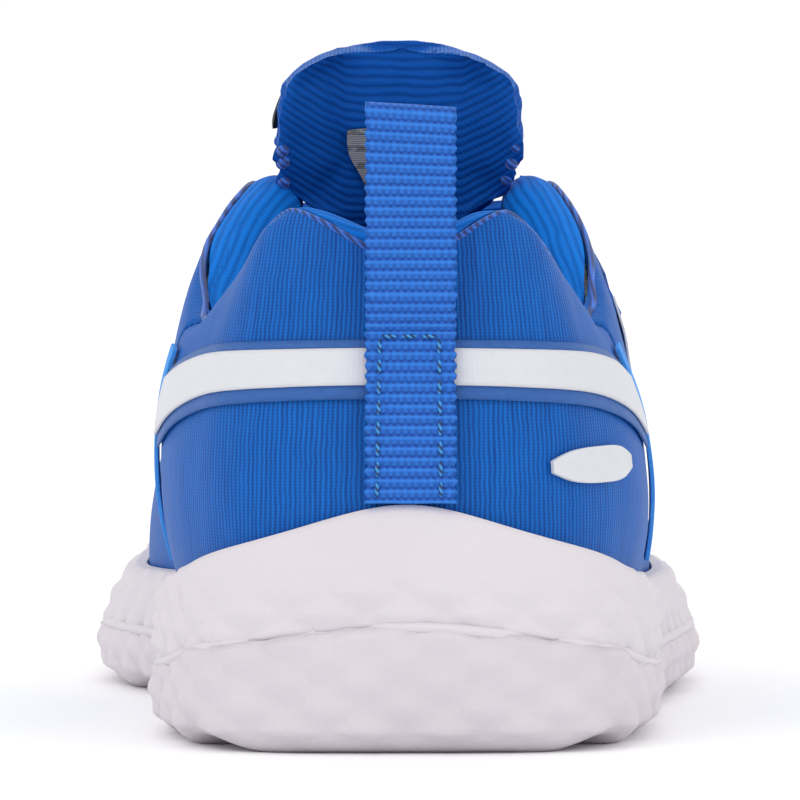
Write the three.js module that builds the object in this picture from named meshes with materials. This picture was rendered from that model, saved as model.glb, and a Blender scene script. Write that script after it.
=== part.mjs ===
// A child's right training shoe: cupped foam sole, bonded fabric upper with a padded collar,
// heel pull tab, padded tongue, elastic laces and one hook-and-loop strap.
// Millimetres, +Z up, toe towards +Y, outer (lateral) side towards +X, standing on z = 0.
import * as THREE from 'three';

// ---------------------------------------------------------------- driving dimensions
const soleLength = 165;
const heelWidth = 54.4;
const ballWidth = 67.5;
const upperHeight = 56;        // top of the padded collar at the heel notch
const toeSpring = 5;           // rise of the toe tip above the ground
const ballLine = 112;          // where the toe spring starts, from the heel
const heelStack = 10.5;        // sole floor above the ground at the heel
const ballStack = 8;           // and at the ball
const gap = 0.3;               // clearance between bonded or stitched pieces

const shellThickness = 0.9;    // outer fabric
const liningThickness = 0.8;
const counterThickness = 0.9;
const filmThickness = 0.25;    // transfer films on the fabric
const filmGap = 0.25;
const overlayThickness = 0.6;  // eyestay and toe overlays
const wallPadding = 3.6;       // whole thickness of the upper where it is not padded

const rimThickness = 1.3;      // sole edge against the upper
const treadThickness = 3.2;
const treadWall = 2.4;         // thickness of the tread where it wraps up the side
const treadRound = 3.8;        // how far in from the side the tread leaves the ground
const grooveDepth = 1.5;

const boardThickness = 1.2;
const sockThickness = 2.8;
const sockClearance = 2.0;     // between the sock's edge and the lining

const tabWidth = 9.8;
const tabCentre = 0.5;         // the webbing is sewn a little off the middle line
const tabThickness = 1.1;
const tabTop = 69.4;
const tabSeam = 44.8;          // top of the box stitch
const tabFootRise = 2.9;       // lower end of the webbing above the sole edge
const tabLoopGap = 0.7;        // space between the two layers of the loop
const tabLean = 0.05;          // the loop leans forward by this much per mm of height

const tongueWidth = 29;
const tongueTopHeight = 75.2;
const tongueShell = 0.9;
const tonguePad = 2.2;
const tongueLining = 0.8;

const strapThickness = 1.1;
const patchThickness = 0.5;    // hook patch
const loopThickness = 0.35;    // loop patch, brushed knit
const patchClear = 0.3;        // between hooks and loops in the closed solid
const laceWidth = 3.2;
const laceThickness = 1.2;
const laceRows = 3;

// ---------------------------------------------------------------- lines of the last
// The table below is drawn for one size, and these scale it to the sizes above.
const wide = ballWidth / 67.5;
const heel = heelWidth / 54.4;
const long = soleLength / 165;
const tall = upperHeight / 56;

// Stations run round the shoe from the heel centre along the outer side to the toe and
// back along the inner side. foot = [x, y] of the upper at the sole floor, wall = how far
// the sole stands out from it, rim = height of the sole edge, part = top of the tread
// wrap, top = [x, y, z] of the topline, low and high = [out, rise] of the profile's
// handles, roll = radius of the topline, seam = where the shell meets the lining, in w.
const station = (foot, wall, rim, part, top, low, high, roll, seam) => (
  { foot, wall, rim, part, top, low, high, roll, seam });
const stations = [
  station([0, 4.6], 4.6, 26.6, 13.5, [0, 7.6, 53.2], [2.6, 15], [3, 14], 3, 0.95),
  station([14.6, 8.6], 6.4, 22.6, 11.5, [11.8, 10.8, 55.9], [4.4, 14], [4.6, 14], 3, 1.25),
  station([20.8, 20], 5, 18.8, 8.5, [18.2, 19.5, 48.6], [5.6, 12], [5.8, 12], 3, 1.5),
  station([22.8, 34], 4.6, 16.6, 7.2, [22.4, 31, 42.8], [6, 11], [4.6, 11], 3, 1.5),
  station([23.4, 50], 4.2, 15.4, 7, [21.2, 45, 51.2], [5, 12], [4.8, 12], 3, 1.15),
  station([24.2, 67], 4.2, 14.6, 7, [16.4, 60, 59.2], [4, 14], [7.6, 9], 2.9, 1),
  station([26, 84], 5, 14, 7, [13.6, 75, 56.2], [3, 15], [10, 5], 2.1, 1),
  station([27.6, 102], 5.4, 13.6, 6.8, [11.6, 90, 49.4], [3, 15], [11, 3], 1.8, 1),
  station([26.8, 121], 5.2, 13.6, 6.8, [10, 103, 43.6], [3, 14], [12, 2], 1.7, 1),
  station([21, 141], 4.8, 14.6, 7, [6.4, 110, 40.2], [3, 13], [16, 1], 1.7, 1),
  station([10.4, 155.6], 4.6, 16.5, 8, [2.4, 112.6, 39.4], [3, 12.5], [20, 0], 1.7, 1),
  station([-3, 160.5], 4.5, 18, 8.6, [-1, 113.2, 39.2], [3, 12.5], [22, 0], 1.7, 1),
  station([-15.4, 154.6], 4.6, 16.5, 8, [-4.4, 112.6, 39.4], [3, 12.5], [20, 0], 1.7, 1),
  station([-25, 140], 5, 14.6, 7, [-8.4, 110, 40.2], [3, 13], [16, 1], 1.7, 1),
  station([-28.8, 121], 5.6, 13.8, 6.8, [-12, 103, 43.6], [3, 14], [12, 2], 1.7, 1),
  station([-28.6, 102], 5.8, 13.8, 6.8, [-13.4, 90, 49.4], [3, 15], [11, 3], 1.8, 1),
  station([-23.6, 84], 5, 14.4, 7, [-15, 75, 56.2], [3.4, 15], [9, 5], 2.1, 1),
  station([-20.2, 67], 4.2, 15.4, 7, [-17.4, 60, 59.2], [5, 14], [7.6, 9], 2.9, 1),
  station([-20.8, 50], 4.2, 16, 7, [-23, 45, 51.2], [6, 12], [4, 12], 3, 1.15),
  station([-22.3, 34], 4.9, 16.6, 7.2, [-24.4, 30, 42.8], [5.6, 11], [3.8, 11], 3, 1.5),
  station([-20.6, 20], 5.2, 18.8, 8.5, [-19.4, 19.2, 48.8], [5.6, 12], [5.6, 12], 3, 1.5),
  station([-14.6, 8.4], 6.8, 22.6, 11.5, [-13.4, 10.6, 56.1], [4.4, 14], [4.6, 14], 3, 1.25),
];
const stationCount = stations.length;
const toeStation = stationCount / 2;
const perStation = 3;
const columns = stationCount * perStation;

// Widths grow with the heel behind the arch and with the ball in front of it.
function widthFactor(y) {
  const f = THREE.MathUtils.smoothstep(y, 40, 90);
  return THREE.MathUtils.lerp(heel, wide, f);
}

// Smooth periodic interpolation of one number of the stations.
function along(u, pick) {
  const base = Math.floor(u);
  const f = u - base;
  const row = (k) => pick(stations[((base + k) % stationCount + stationCount) % stationCount]);
  const [a, b, c, d] = [row(-1), row(0), row(1), row(2)];
  return b + 0.5 * f * (c - a + f * (2 * a - 5 * b + 4 * c - d + f * (3 * (b - c) + d - a)));
}

// The ground lifts towards the toe.
function lift(y) {
  const f = Math.max(0, (y / long - ballLine) / (165 - ballLine));
  return toeSpring * f * f;
}

// Height of the sole floor, where the upper is lasted down.
function floorHeight(y) {
  const f = THREE.MathUtils.smoothstep(y / long, 45, 105);
  return THREE.MathUtils.lerp(heelStack, ballStack, f) + lift(y);
}

function footPoint(u) {
  const y = along(u, (s) => s.foot[1]);
  const x = along(u, (s) => s.foot[0]) * widthFactor(y);
  return new THREE.Vector3(x, y * long, floorHeight(y * long));
}

function outward(u) {
  const a = footPoint(u - 0.05);
  const b = footPoint(u + 0.05);
  return new THREE.Vector3(b.y - a.y, a.x - b.x, 0).normalize();
}

function topPoint(u) {
  const y = along(u, (s) => s.top[1]);
  const x = along(u, (s) => s.top[0]) * widthFactor(y);
  return new THREE.Vector3(x, y * long, along(u, (s) => s.top[2]) * tall);
}

// The outside of the upper: u round the shoe, t from the sole floor to the topline.
function outside(u, t) {
  const foot = footPoint(u);
  const top = topPoint(u);
  const out = outward(u);
  const low = foot.clone().addScaledVector(out, along(u, (s) => s.low[0]));
  low.z += along(u, (s) => s.low[1]) * tall;
  const high = top.clone().addScaledVector(out, along(u, (s) => s.high[0]));
  high.z -= along(u, (s) => s.high[1]) * tall;
  const r = 1 - t;
  return foot.multiplyScalar(r * r * r)
    .addScaledVector(low, 3 * r * r * t)
    .addScaledVector(high, 3 * r * t * t)
    .addScaledVector(top, t * t * t);
}

function rising(u, t) {
  return outside(u, t + 0.01).sub(outside(u, t - 0.01)).normalize();
}

function normal(u, t) {
  const round = outside(u + 0.04, t).sub(outside(u - 0.04, t));
  return round.cross(rising(u, t)).normalize();
}

function padding(u, t) {
  const roll = 2 * along(u, (s) => s.roll);
  return THREE.MathUtils.lerp(wallPadding, roll, THREE.MathUtils.smoothstep(t, 0.5, 0.85));
}

// The whole skin of the upper: w 0..1 climbs the outside, 1..2 rolls over the topline and
// 2..3 goes down the lining. depth is measured from the skin into the padding.
function skin(u, w, depth) {
  if (w <= 1) return outside(u, w).addScaledVector(normal(u, w), -depth);
  if (w >= 2) {
    const t = 3 - w;
    return outside(u, t).addScaledVector(normal(u, t), depth - padding(u, t));
  }
  const radius = padding(u, 1) / 2;
  const angle = (w - 1) * Math.PI;
  const n = normal(u, 1);
  return outside(u, 1)
    .addScaledVector(n, -radius + (radius - depth) * Math.cos(angle))
    .addScaledVector(rising(u, 1), (radius - depth) * Math.sin(angle));
}

// The profile parameter where the outside reaches a height.
function levelAt(u, z) {
  let low = 0;
  let high = 1;
  for (let k = 0; k < 24; k += 1) {
    const mid = (low + high) / 2;
    if (outside(u, mid).z < z) low = mid;
    else high = mid;
  }
  return (low + high) / 2;
}

// ---------------------------------------------------------------- mesh helpers
const group = new THREE.Group();

function addMesh(name, geometry, material) {
  const mesh = new THREE.Mesh(geometry, material);
  mesh.name = name;
  group.add(mesh);
  return mesh;
}

// Triangles of a quad a, b, c, d, leaving out sides that have shrunk to a point.
function pushQuad(list, a, b, c, d) {
  for (const [p, q, r] of [[a, b, c], [a, c, d]]) {
    const area = q.clone().sub(p).cross(r.clone().sub(p)).length();
    if (area > 1e-7) list.push(p, q, r);
  }
}

function geometryOf(list) {
  return new THREE.BufferGeometry().setFromPoints(list);
}

// A slab between two matching grids: front[i][j] and back[i][j].
function slab(front, back) {
  const list = [];
  const m = front.length - 1;
  const n = front[0].length - 1;
  for (let i = 0; i < m; i += 1) {
    for (let j = 0; j < n; j += 1) {
      pushQuad(list, front[i][j], front[i + 1][j], front[i + 1][j + 1], front[i][j + 1]);
      pushQuad(list, back[i][j], back[i][j + 1], back[i + 1][j + 1], back[i + 1][j]);
    }
  }
  for (let i = 0; i < m; i += 1) {
    pushQuad(list, front[i][0], back[i][0], back[i + 1][0], front[i + 1][0]);
    pushQuad(list, front[i][n], front[i + 1][n], back[i + 1][n], back[i][n]);
  }
  for (let j = 0; j < n; j += 1) {
    pushQuad(list, front[0][j], front[0][j + 1], back[0][j + 1], back[0][j]);
    pushQuad(list, front[m][j], back[m][j], back[m][j + 1], front[m][j + 1]);
  }
  return geometryOf(list);
}

// A body that goes all the way round the shoe: section(i) runs from the middle line
// underneath, round the edge and back to the middle line on top, where both halves meet.
function ring(count, section) {
  const lines = Array.from({ length: count }, (_, i) => section(i));
  const list = [];
  lines.forEach((line, i) => {
    const next = lines[(i + 1) % count];
    for (let j = 0; j + 1 < line.length; j += 1) {
      pushQuad(list, line[j], next[j], next[j + 1], line[j + 1]);
    }
  });
  return geometryOf(list);
}

// An open run of closed sections with flat ends.
function bar(loops) {
  const list = [];
  for (let i = 0; i + 1 < loops.length; i += 1) {
    const n = loops[i].length;
    for (let j = 0; j < n; j += 1) {
      const k = (j + 1) % n;
      pushQuad(list, loops[i][j], loops[i + 1][j], loops[i + 1][k], loops[i][k]);
    }
  }
  const first = loops[0];
  const last = loops[loops.length - 1];
  for (let j = 1; j + 1 < first.length; j += 1) {
    list.push(first[0], first[j], first[j + 1]);
    list.push(last[0], last[j + 1], last[j]);
  }
  return geometryOf(list);
}

function lerp(a, b, f) {
  return a + (b - a) * f;
}

function steps(from, to, count) {
  return Array.from({ length: count + 1 }, (_, i) => lerp(from, to, i / count));
}

// A piece of the upper's skin between two u lines, which may slant with the row. levelOf
// turns a row into w, and is left out where the rows are w themselves.
function skinPanel(uFrom, uTo, uSteps, rows, depthOut, depthIn, levelOf = (u, row) => row) {
  const grid = (depth) => steps(0, 1, uSteps).map((f) => rows.map((row) => {
    const u = lerp(uFrom(row), uTo(row), f);
    return skin(u, levelOf(u, row), depth);
  }));
  return slab(grid(depthOut), grid(depthIn));
}

// ---------------------------------------------------------------- materials
function finish(color, roughness, metalness = 0) {
  return new THREE.MeshStandardMaterial({ color, roughness, metalness });
}
const knitBlue = finish(0x165cbe, 0.8);
const liningBlue = finish(0x0f4baa, 0.85);
const webbingBlue = finish(0x326ed7, 0.8);
const edgeBlue = finish(0x1e8ce1, 0.5);
const bandBlue = finish(0x235aa5, 0.6);
const filmWhite = finish(0xdedee4, 0.5);
const soleWhite = finish(0xded8de, 0.7);
const treadWhite = finish(0xdad4da, 0.6);
const foamGrey = finish(0xb9b9b4, 0.9);
const boardGrey = finish(0xa6a49c, 0.9);
const labelGrey = finish(0x646469, 0.7);
const badgeBlack = finish(0x101114, 0.4);
const laceWhite = finish(0xe6e6ea, 0.8);

// ---------------------------------------------------------------- sole
// A point of the sole's section: e out from the foot line, z above the lifted ground.
function solePoint(u, e, z) {
  const p = footPoint(u).addScaledVector(outward(u), e);
  p.z = z + lift(p.y);
  return p;
}

// The middle line that both halves of the sole share stops short of heel and toe.
const spineHeel = 1.15;
const spineToe = 9.4;
function spinePoint(u, z) {
  const s = THREE.MathUtils.clamp(Math.min(u, stationCount - u), spineHeel, spineToe);
  const p = footPoint(s).add(footPoint(stationCount - s)).multiplyScalar(0.5);
  p.z = z + lift(p.y);
  return p;
}

function wallOf(u) {
  return along(u, (s) => s.wall);
}

// Tread lugs stand on the ground and the grooves between them run across the sole.
function isGroove(i) {
  const k = Math.min(i, columns - i);
  return k % 3 === 1 && k > 1 && k < columns / 2 - 1;
}

function treadSection(i) {
  const u = i / perStation;
  const wall = wallOf(u);
  const part = along(u, (s) => s.part);
  const up = isGroove(i) ? grooveDepth : 0;
  const spine = spinePoint(u, 0);
  const low = solePoint(u, wall - treadRound, 0);
  const innerSpine = spinePoint(u, treadThickness);
  const innerLow = solePoint(u, wall - 7, treadThickness);
  const raised = (p) => new THREE.Vector3(p.x, p.y, p.z + up);
  return [
    spine,
    raised(spine.clone().lerp(low, 0.45)),
    raised(spine.clone().lerp(low, 0.9)),
    raised(low),
    solePoint(u, wall - treadRound * 0.45, 0.6 + up * 0.7),
    solePoint(u, wall - treadRound * 0.1, 2 + up * 0.4),
    solePoint(u, wall + 0.3, 4.6),
    solePoint(u, wall, part),
    solePoint(u, wall - treadWall, part),
    solePoint(u, wall - treadWall - 0.4, 5.8),
    solePoint(u, wall - 4.6, 4.0),
    innerLow,
    innerLow.clone().lerp(innerSpine, 0.5),
    innerSpine,
  ];
}
addMesh('outsole', ring(columns, treadSection), treadWhite);

function midsoleSection(i) {
  const u = i / perStation;
  const wall = wallOf(u);
  const part = along(u, (s) => s.part) + gap;
  const rim = along(u, (s) => s.rim) + lift(footPoint(u).y);
  const level = levelAt(u, rim);
  const onUpper = (f, depth) => skin(u, level * f, -depth);
  const rimOut = onUpper(1, gap + rimThickness);
  const base = solePoint(u, wall - 0.5, part);
  const belly = base.clone().lerp(rimOut, 0.5).addScaledVector(outward(u), 0.5);
  const floorEdge = footPoint(u).addScaledVector(outward(u), gap);
  floorEdge.z -= gap;
  const floorSpine = spinePoint(u, 0);
  floorSpine.z = floorHeight(floorSpine.y) - gap;
  const lowSpine = spinePoint(u, treadThickness + gap);
  const low = solePoint(u, wall - 7.2, treadThickness + gap);
  return [
    lowSpine,
    lowSpine.clone().lerp(low, 0.5),
    low,
    solePoint(u, wall - 4.9, 4.4),
    solePoint(u, wall - treadWall - 0.75, 6.1),
    solePoint(u, wall - treadWall - gap, part),
    base,
    base.clone().lerp(belly, 0.5).addScaledVector(outward(u), 0.2),
    belly,
    rimOut,
    onUpper(1, gap),
    onUpper(0.66, gap),
    onUpper(0.33, gap),
    floorEdge,
    floorEdge.clone().lerp(floorSpine, 0.5),
    floorSpine,
  ];
}
addMesh('midsole', ring(columns, midsoleSection), soleWhite);

// The strobel board closes the upper underneath, and the sock lies on it.
function insoleSection(i, inset, bottom, thickness) {
  const u = i / perStation;
  const flat = (p, z) => new THREE.Vector3(p.x, p.y, floorHeight(p.y) + z);
  const edge = footPoint(u).addScaledVector(outward(u), -inset);
  const spine = spinePoint(u, 0);
  const middle = edge.clone().lerp(spine, 0.5);
  return [
    flat(spine, bottom), flat(middle, bottom), flat(edge, bottom),
    flat(edge, bottom + thickness), flat(middle, bottom + thickness), flat(spine, bottom + thickness),
  ];
}
const boardInset = wallPadding + gap;
const boardSection = (i) => insoleSection(i, boardInset, 0, boardThickness);
addMesh('strobel_board', ring(columns, boardSection), boardGrey);
const sockBottom = boardThickness + gap;
const sockInset = wallPadding + sockClearance;
const sockSection = (i) => insoleSection(i, sockInset, sockBottom, sockThickness);
addMesh('sockliner', ring(columns, sockSection), liningBlue);

// ---------------------------------------------------------------- upper, outer shell
const heelEnd = 3.05;          // station where the heel panel stops at the topline
const heelFoot = 3.5;          // and at the sole
const vampEnd = 8.0;           // station where the vamp starts
const seamSlit = 0.05;         // slit between two panels, in station units
const seamOf = (u) => along(u, (s) => s.seam);

// The front edge of the heel panel slants forward towards the sole.
const heelEdge = (w) => lerp(heelFoot, heelEnd, Math.min(1, w));
const shellRows = steps(0, 1, 9);
const climb = (u, f) => f * seamOf(u);

const at = (u) => () => u;     // a panel edge that stays on one station line
addMesh('heel_panel', skinPanel(
  (w) => -heelEdge(w) + seamSlit, (w) => heelEdge(w) - seamSlit,
  20, shellRows, 0, shellThickness, climb,
), knitBlue);
addMesh('quarter_lateral', skinPanel(
  (w) => heelEdge(w), at(vampEnd - seamSlit), 15, shellRows, 0, shellThickness, climb,
), knitBlue);
addMesh('quarter_medial', skinPanel(
  at(stationCount - vampEnd + seamSlit), (w) => stationCount - heelEdge(w),
  15, shellRows, 0, shellThickness, climb,
), knitBlue);
addMesh('vamp', skinPanel(
  at(vampEnd), at(stationCount - vampEnd), 18, shellRows, 0, shellThickness, climb,
), knitBlue);

// ---------------------------------------------------------------- hidden stiffeners and padding
const counterEnd = 2.9;
const stiffenerDepth = shellThickness + gap + 0.15;
addMesh('heel_counter', skinPanel(
  at(-counterEnd), at(counterEnd), 18, steps(0.04, 0.56, 5),
  stiffenerDepth, stiffenerDepth + counterThickness,
), boardGrey);
const puffStart = 9.4;
addMesh('toe_puff', skinPanel(
  at(puffStart), at(stationCount - puffStart), 10, steps(0.04, 0.5, 5),
  stiffenerDepth, stiffenerDepth + counterThickness,
), boardGrey);

const foamEnd = 6.0;
const foamInset = shellThickness + gap + 0.15;
const foamLow = 0.74;
function foamSection(u) {
  const outer = steps(foamLow, 1, 2).map((w) => skin(u, w, foamInset));
  const cap = [1.3, 1.7].map((w) => skin(u, w, foamInset));
  const inner = steps(2, 3 - foamLow, 2).map((w) => skin(u, w, liningThickness + gap + 0.15));
  return [...outer, ...cap, ...inner];
}
addMesh('collar_foam', bar(steps(-foamEnd, foamEnd, 36).map(foamSection)), foamGrey);

// ---------------------------------------------------------------- lining
const liningEnd = 6.1;
const liningRows = steps(0, 1, 9);
const descend = (u, f) => lerp(seamOf(u) + 0.04, 2.97, f);
addMesh('heel_lining', skinPanel(
  at(-heelEnd + seamSlit), at(heelEnd - seamSlit), 18, liningRows, 0, liningThickness, descend,
), liningBlue);
addMesh('collar_lining_lateral', skinPanel(
  at(heelEnd), at(liningEnd - seamSlit), 9, liningRows, 0, liningThickness, descend,
), liningBlue);
addMesh('collar_lining_medial', skinPanel(
  at(stationCount - liningEnd + seamSlit), at(stationCount - heelEnd),
  9, liningRows, 0, liningThickness, descend,
), liningBlue);
addMesh('vamp_lining', skinPanel(
  at(liningEnd), at(stationCount - liningEnd), 26, liningRows, 0, liningThickness, descend,
), liningBlue);

// ---------------------------------------------------------------- films on the shell
// A film between two heights, laid round the heel panel.
function film(name, bottom, top, lift0, thick, material) {
  const grid = (height) => steps(-1, 1, 20).map((f) => steps(0, 1, 2).map((g) => {
    const end = heelEdge(levelAt(3, lerp(bottom(3), top(3), g))) - bandInset;
    const z = lerp(bottom(f * end), top(f * end), g);
    return skin(f * end, levelAt(f * end, z), -height);
  }));
  addMesh(name, slab(grid(lift0 + thick), grid(lift0)), material);
}
// The heel band droops a little and widens towards the sides, and stops at the piping.
const bandInset = 0.1;
const spread = (u) => Math.pow(Math.min(1, Math.abs(u) / 3), 2.4);
const bandBottom = (u) => (37.8 - 6.8 * spread(u)) * tall;
const bandTop = (u) => (44.1 - 4.4 * spread(u)) * tall;
const stripeBottom = (u) => bandBottom(u) + 1.45;
const stripeTop = (u) => bandTop(u) - 0.95;
film('heel_band_base', bandBottom, bandTop, filmGap, filmThickness, bandBlue);
const stripeLift = filmGap + filmThickness + 0.1;
film('heel_band_stripe', stripeBottom, stripeTop, stripeLift, filmThickness, filmWhite);

// The piping that hides the front edge of the heel panel, one each side.
const pipingHeight = 0.75;
function piping(name, side) {
  const loops = steps(0.24, 0.97, 9).map((w) => {
    const corner = (du, height) => skin(side * (heelEdge(w) + du), w, -height);
    const box = [
      corner(-0.07, filmGap), corner(0.09, filmGap),
      corner(0.09, pipingHeight), corner(-0.07, pipingHeight),
    ];
    return side > 0 ? box : box.reverse();
  });
  addMesh(name, bar(loops), edgeBlue);
}
piping('heel_piping_lateral', 1);
piping('heel_piping_medial', -1);

// Slanted side stripes on the quarters.
function sideStripe(name, side, start, material) {
  const grid = (height) => steps(0, 1, 6).map((f) => steps(0, 1, 1).map((g) => {
    const w = lerp(0.3, 0.78, f);
    const u = side * (start - 0.9 * f + 0.34 * g);
    return skin(u, w, -height);
  }));
  const front = grid(filmGap + filmThickness);
  const back = grid(filmGap);
  addMesh(name, side > 0 ? slab(back, front) : slab(front, back), material);
}
for (const [side, word] of [[1, 'lateral'], [-1, 'medial']]) {
  sideStripe(`side_stripe_rear_${word}`, side, 5.0, filmWhite);
  sideStripe(`side_stripe_front_${word}`, side, 5.6, bandBlue);
}

// Raised mark on the outer side of the heel: one plain rounded bar.
const badgeHeight = 3.8;
const badgeCentre = [1.5, 30.4];
const badgeHalf = 0.5;
function badgeGrid(height) {
  return steps(-1, 1, 8).map((f) => {
    const half = badgeHeight / 2 * Math.sqrt(Math.max(0.12, 1 - Math.pow(Math.abs(f), 3)));
    return [-1, 0, 1].map((g) => {
      const u = badgeCentre[0] + f * badgeHalf;
      return skin(u, levelAt(u, badgeCentre[1] * tall + g * half), -height);
    });
  });
}
addMesh('heel_badge', slab(badgeGrid(0.95), badgeGrid(filmGap)), filmWhite);

// Overlays: eyestays along the throat and a toe guard above the sole edge.
const eyestayFrom = 5.5;
const eyestayRows = [0.8, 0.9, 1, 1.25];
addMesh('eyestay_lateral', skinPanel(
  at(eyestayFrom), at(toeStation - 1.0), 15, eyestayRows, -filmGap - overlayThickness, -filmGap,
), knitBlue);
addMesh('eyestay_medial', skinPanel(
  at(toeStation + 1.0), at(stationCount - eyestayFrom), 15, eyestayRows,
  -filmGap - overlayThickness, -filmGap,
), knitBlue);
const guardFrom = 9.0;
const guardLow = (u) => levelAt(u, along(u, (s) => s.rim) + lift(footPoint(u).y) + 0.5);
const guardGrid = (height) => steps(guardFrom, stationCount - guardFrom, 12).map((u) => (
  steps(0, 1, 3).map((f) => skin(u, lerp(guardLow(u), guardLow(u) + 0.17, f), -height))));
addMesh('toe_guard', slab(guardGrid(filmGap + overlayThickness), guardGrid(filmGap)), edgeBlue);

// ---------------------------------------------------------------- pull tab
// Webbing stitched down the heel, with a free loop above the box stitch.
const tabLift = stripeLift + filmThickness + 0.2;
function heelBack(z, height) {
  return skin(0, levelAt(0, z), -height);
}
const tabLevels = steps(stations[0].rim + tabFootRise, tabSeam * tall, 5);
const tabLeft = tabCentre - tabWidth / 2;
const tabRight = tabCentre + tabWidth / 2;
addMesh('pull_tab_base', bar(tabLevels.map((z) => {
  const inner = heelBack(z, tabLift);
  const outer = heelBack(z, tabLift + tabThickness);
  return [
    new THREE.Vector3(tabLeft, inner.y, inner.z), new THREE.Vector3(tabRight, inner.y, inner.z),
    new THREE.Vector3(tabRight, outer.y, outer.z), new THREE.Vector3(tabLeft, outer.y, outer.z),
  ];
})), webbingBlue);

// The free loop: down the back layer, over the fold and down the front layer.
const seat = heelBack(tabSeam * tall, tabLift);
const loopBase = seat.z + 0.5;
const loopTop = tabTop * tall;
const clear = tabLoopGap / 2;
function loopAt(z, off) {
  return [seat.y - 1.2 + tabLean * (z - loopBase) + off, z];
}
const outline = [];
for (const z of steps(loopBase, loopTop - 1.6, 4)) outline.push(loopAt(z, -clear - tabThickness));
for (const a of [150, 120, 90, 60, 30]) {
  const r = clear + tabThickness;
  outline.push(loopAt(loopTop - r + r * Math.sin(a * Math.PI / 180), r * Math.cos(a * Math.PI / 180)));
}
for (const z of steps(loopTop - 1.6, loopBase, 4)) outline.push(loopAt(z, clear + tabThickness));
for (const z of steps(loopBase, loopTop - 2.2, 4)) outline.push(loopAt(z, clear));
for (const z of steps(loopTop - 2.2, loopBase, 4)) outline.push(loopAt(z, -clear));
const loopShape = new THREE.Shape(outline.map(([y, z]) => new THREE.Vector2(y, z)));
const loopGeometry = new THREE.ExtrudeGeometry(loopShape, { depth: tabWidth, bevelEnabled: false });
loopGeometry.applyMatrix4(new THREE.Matrix4().makeBasis(
  new THREE.Vector3(0, 1, 0), new THREE.Vector3(0, 0, 1), new THREE.Vector3(1, 0, 0),
));
loopGeometry.translate(tabLeft, 0, 0);
addMesh('pull_tab_loop', loopGeometry, webbingBlue);

// ---------------------------------------------------------------- tongue
const tongueCentre = -0.8;
const tongueRise = tongueTopHeight / 75.2;
const tongueLine = new THREE.CatmullRomCurve3([
  [112, 34.6], [103, 40.2], [93, 45.6], [84, 49.8], [76, 53.4],
  [69.5, 58], [65.5, 63], [63, 69], [62, 75.2],
].map(([y, z]) => new THREE.Vector3(tongueCentre, y * long, z * tall * tongueRise)), false, 'centripetal');
const tongueSplit = 0.585;     // where the stiff lower part ends and the padded top begins
const padStart = tongueShell + gap + 0.1;
const padEnd = padStart + tonguePad;
const tongueBack = padEnd + gap + 0.1 + tongueLining;
const splitHalf = 0.004;
const throatClearance = 2.85;  // between the tongue's edge and the lining beside it
const throatFront = 82;        // ahead of this the tongue runs on under the vamp, no narrower
const flareStart = -2.2;       // the tongue widens once its back edge is this far from the topline
const flareSlope = 1.15;       // how fast each side widens with height

// The collar beside the tongue: half the width between the linings, and the topline's height.
function throatBeside(y) {
  const side = (mirrored) => {
    let low = 3.2;
    let high = toeStation;
    for (let k = 0; k < 24; k += 1) {
      const mid = (low + high) / 2;
      if (topPoint(mirrored ? stationCount - mid : mid).y < y) low = mid;
      else high = mid;
    }
    return mirrored ? stationCount - low : low;
  };
  const outer = side(false);
  const inner = side(true);
  const reach = Math.min(
    skin(outer, 2, 0).x - tongueCentre,
    tongueCentre - skin(inner, 2, 0).x,
  );
  return { half: reach, top: skin(outer, 1.5, 0).z };
}

const tongueCurl = (v) => lerp(3.0, 6.0, THREE.MathUtils.smoothstep(v, 0.64, 0.85));
function tongueHalfWidth(v) {
  const centre = tongueLine.getPoint(v);
  const throat = throatBeside(Math.min(centre.y, throatFront * long));
  const narrow = throat.half - throatClearance;
  const backEdge = centre.z + tongueLine.getTangent(v).y * (tongueCurl(v) + tongueBack);
  const flareEnd = flareStart + (tongueWidth / 2 - narrow) / flareSlope;
  const flare = THREE.MathUtils.smoothstep(backEdge - throat.top, flareStart, flareEnd);
  const round = Math.max(0, (v - 0.8) / 0.2);
  return lerp(narrow, tongueWidth / 2, flare) * Math.sqrt(1 - 0.74 * Math.pow(round, 2.2));
}

// q runs across the tongue, depth goes in from its front face.
function tonguePoint(v, q, depth) {
  const centre = tongueLine.getPoint(v);
  const ahead = tongueLine.getTangent(v);
  const front = new THREE.Vector3(0, ahead.z, -ahead.y);
  const bow = tongueCurl(v) * q * q;
  const p = centre.clone().addScaledVector(front, -bow - depth);
  p.x += tongueHalfWidth(v) * q;
  return p;
}

function tonguePiece(name, from, to, count, depthOut, depthIn, shrink, material) {
  const grid = (depth) => steps(from, to, count).map((v) => (
    steps(-shrink, shrink, 8).map((q) => tonguePoint(v, q, depth))));
  addMesh(name, slab(grid(depthOut), grid(depthIn)), material);
}
tonguePiece('tongue_lower_shell', 0, tongueSplit - splitHalf, 8, 0, tongueShell, 1, knitBlue);
const lowerLining = 1.6;       // lining and thin foam under the laces
tonguePiece(
  'tongue_lower_lining', 0, tongueSplit - splitHalf, 8,
  tongueShell + gap, tongueShell + gap + lowerLining, 1, liningBlue,
);
tonguePiece('tongue_top_shell', tongueSplit + splitHalf, 1, 9, 0, tongueShell, 1, knitBlue);
tonguePiece('tongue_top_pad', tongueSplit + 2 * splitHalf, 0.965, 8, padStart, padEnd, 0.92, foamGrey);
tonguePiece(
  'tongue_top_lining', tongueSplit + splitHalf, 1, 9,
  tongueBack - tongueLining, tongueBack, 1, liningBlue,
);
tonguePiece('tongue_badge', 0.84, 0.93, 2, -filmGap - 0.8, -filmGap, 0.98, badgeBlack);
const labelGrid = (depth) => steps(0.7, 0.84, 3).map((v) => (
  steps(-0.4, 0.28, 4).map((q) => tonguePoint(v, q, depth))));
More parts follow.
